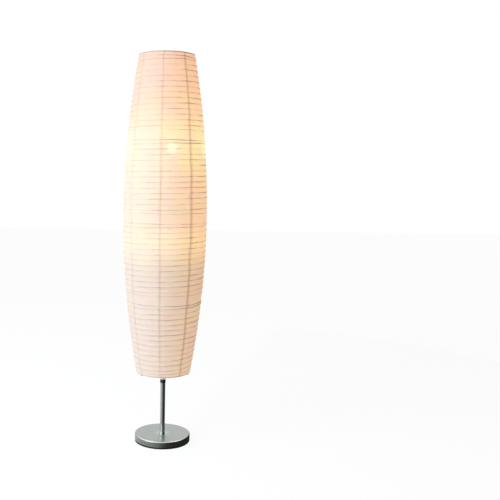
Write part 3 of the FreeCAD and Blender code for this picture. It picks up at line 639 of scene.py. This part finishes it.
def plain_finish(name, dark, light, blotches, roughness, metallic=0.0, specks=900.0,
                 depth=0.00005, **sockets):
    """A finish with soft blotches, fine specks and an uneven sheen. Both scales are per metre."""
    made = Finish(name)
    place = made.place()
    blotch, speck = place.noise(blotches), place.noise(specks, 2.0)
    colour = mixed((blotch * 0.6 + speck * 0.4).ease(0.35, 0.65), dark, light)
    smooth, rough = roughness
    return made.show(made.principled(
        Base_Color=colour, Metallic=metallic, Roughness=smooth + blotch * (rough - smooth),
        Normal=speck.bump(depth, 0.5), **sockets))


def silver_finish():
    """Metallic paint with a fine sparkle, duller and darker on the base than on the pole."""
    silver = Finish("silver_paint")
    place = silver.place()
    x, y, _ = place.split()
    flakes, broad = place.noise(1500.0, 2.0, 0.7), place.noise(18.0)
    dull = (x * x + y * y).root().ease(0.010, 0.030, 0.0, 0.13)
    colour = mixed(flakes.ease(0.38, 0.66), (0.34, 0.365, 0.345), (0.64, 0.67, 0.65))
    colour = mixed(dull * 7.6, colour, tinted(colour, (0.62, 0.62, 0.61)))
    return silver.show(silver.principled(
        Base_Color=colour, Metallic=0.96, Roughness=0.11 + dull + broad * 0.06 + flakes * 0.05,
        Normal=flakes.bump(0.00005, 0.4)))


def sleeve_finish():
    """Black plastic whose upper lip is painted pale, as painted light of the lower bulb."""
    sleeve = Finish("black_sleeve")
    place = sleeve.place()
    # painted light: the upper lip is pale in the lower bulb's light
    lip = place.split()[2].ease(0.2010, 0.2020)
    speck = place.noise(700.0, 2.0)
    black = mixed(speck, grey(0.008), grey(0.018))
    return sleeve.show(sleeve.principled(
        Base_Color=mixed(lip, black, (0.86, 0.84, 0.80)), Roughness=0.35 + speck * 0.2,
        Normal=speck.bump(0.00004, 0.4)))


def bulb_finish():
    """Frosted glass, lit, and brightest round the middle of each bulb."""
    glass = Finish("frosted_lit_glass")
    place = glass.place()
    z = place.split()[2]
    upper, lower = [abs(z - bulb.z).ease(0.010, 0.052, 1.0, 0.42)
                    for bulb in (UPPER_BULB, LOWER_BULB)]
    heat = upper.larger(lower) * (0.92 + place.noise(30.0, 2.0) * 0.16)
    light = heat.ramp((0.0, (0.1, 0.05, 0.02)), (0.45, (0.90, 0.52, 0.20)),
                      (1.0, (1.0, 0.80, 0.46)))
    return glass.show(glass.principled(
        Base_Color=(0.30, 0.27, 0.22, 1.0), Roughness=0.45,
        Emission_Color=light, Emission_Strength=1.0))


def finishes_by_slot():
    """A finish for each slot but the paper's, whose nodes are all replaced."""
    return {
        "silver_paint": silver_finish(),
        "bulb_glass": bulb_finish(),
        "rib_wire": plain_finish(
            "rib_wire", (0.20, 0.17, 0.14), (0.32, 0.28, 0.24), 80.0, (0.35, 0.6), metallic=0.6),
        "white_wire": plain_finish(
            "white_enamel", (0.62, 0.62, 0.60), (0.74, 0.74, 0.72), 50.0, (0.3, 0.5)),
        "black_plastic": sleeve_finish(),
        "black_rubber": plain_finish(
            "black_rubber", grey(0.004), (0.012, 0.011, 0.010), 90.0, (0.75, 0.9),
            Specular_IOR_Level=0.12),
        "cast_iron": plain_finish(
            "cast_iron", (0.05, 0.05, 0.052), (0.11, 0.11, 0.112), 70.0, (0.55, 0.8), metallic=0.6,
            specks=500.0, depth=0.0003),
        "zinc_steel": plain_finish(
            "zinc_plate", (0.42, 0.43, 0.44), (0.60, 0.61, 0.63), 90.0, (0.25, 0.45),
            metallic=0.95),
        "nylon": plain_finish(
            "nylon", (0.70, 0.69, 0.64), (0.80, 0.79, 0.75), 60.0, (0.35, 0.5)),
        "phenolic": plain_finish(
            "phenolic", (0.014, 0.012, 0.010), (0.028, 0.024, 0.020), 60.0, (0.22, 0.4)),
        "shell_metal": plain_finish(
            "rolled_aluminium", (0.60, 0.60, 0.61), (0.76, 0.76, 0.77), 90.0, (0.22, 0.4),
            metallic=0.95),
        "brass": plain_finish(
            "brass", (0.60, 0.42, 0.16), (0.76, 0.56, 0.24), 90.0, (0.2, 0.4), metallic=0.95),
        "lead_cover": plain_finish(
            "lead_cover", (0.60, 0.60, 0.57), (0.70, 0.70, 0.67), 80.0, (0.4, 0.6)),
    }


def dress_cad_nodes(finishes):
    """Gives every node whose slot has a finish that finish."""
    for part in frame["record"]["subparts"]:
        if part["material_slot"] not in finishes:
            continue
        node, made = frame["nodes"][part["node"]], finishes[part["material_slot"]]
        if not node.material_slots:
            node.data.materials.append(made.material)
        for slot in node.material_slots:
            slot.material = made.material


# ---------------------------------------------------------------- the lamp

place_camera()
light_the_room()
lay_floor()
finishes = finishes_by_slot()
hang_dark_card("dark_wall_card", 9, 148,
               line=((CARD_RADIUS, CARD_HEIGHT), (CARD_RADIUS, CARD_TOP)),
               darkening=((9, 0.01), (157, 0.05)))
hang_dark_card("dark_floor_card", -95, 255,
               line=((CARD_INNER_RADIUS, CARD_HEIGHT), (CARD_RADIUS, CARD_HEIGHT)),
               darkening=((-95, 1.0), (-52, 0.72), (-12, 0.38), (3, 0.08), (14, 0.03), (160, 0.02)))
dress_cad_nodes(finishes)
lantern_paper = lantern_paper_finish()
for number in range(1, STRIPS + 1):
    paper_strip(number, lantern_paper)
for number in range(1, SECTIONS + 1):
    hoop_pair(number, finishes["rib_wire"])
    winding(number, finishes["rib_wire"])
hem("hem_top", TOP, -1, lantern_paper, "shade_top", ["top_hem"])
hem("hem_bottom", FOOT, 1, lantern_paper, "shade_bottom", ["bottom_hem"])

bpy.context.scene.view_settings.view_transform = "Standard"
